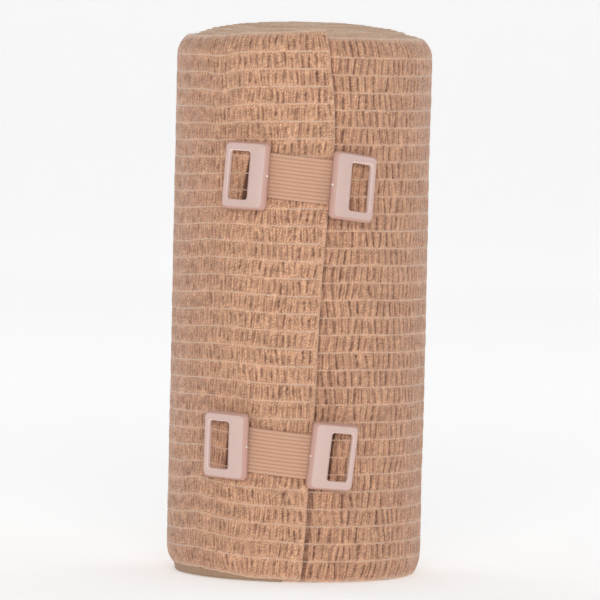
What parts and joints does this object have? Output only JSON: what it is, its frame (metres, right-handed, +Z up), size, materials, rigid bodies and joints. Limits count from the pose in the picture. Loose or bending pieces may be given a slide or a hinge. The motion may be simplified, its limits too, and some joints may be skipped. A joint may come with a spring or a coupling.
{
  "type": "rolled elastic compression bandage with two band clips",
  "caption": "Wide elastic crepe bandage wound into an upright roll, its free end held on the outside by band clips with windowed plastic end frames.",
  "frame": {"origin": "middle of the footprint, on the surface that the roll stands on", "axes": "+Z up along the roll's axis, -Y towards the front where the clips are, +X to the right seen from the front"},
  "size_m": [0.0712, 0.0772, 0.154],
  "materials": {
    "elastic_fabric": "matt puckered crepe with pale threads along its length",
    "frame_plastic": "satin moulded plastic",
    "ribbed_elastic": "matt ribbed elastic webbing"
  },
  "bodies": {
    "root": {"bandage_roll": "elastic_fabric", "upper_clip_left_frame": "frame_plastic", "upper_clip_right_frame": "frame_plastic", "upper_clip_strap": "ribbed_elastic", "lower_clip_left_frame": "frame_plastic", "lower_clip_right_frame": "frame_plastic", "lower_clip_strap": "ribbed_elastic"}
  },
  "joints": []
}
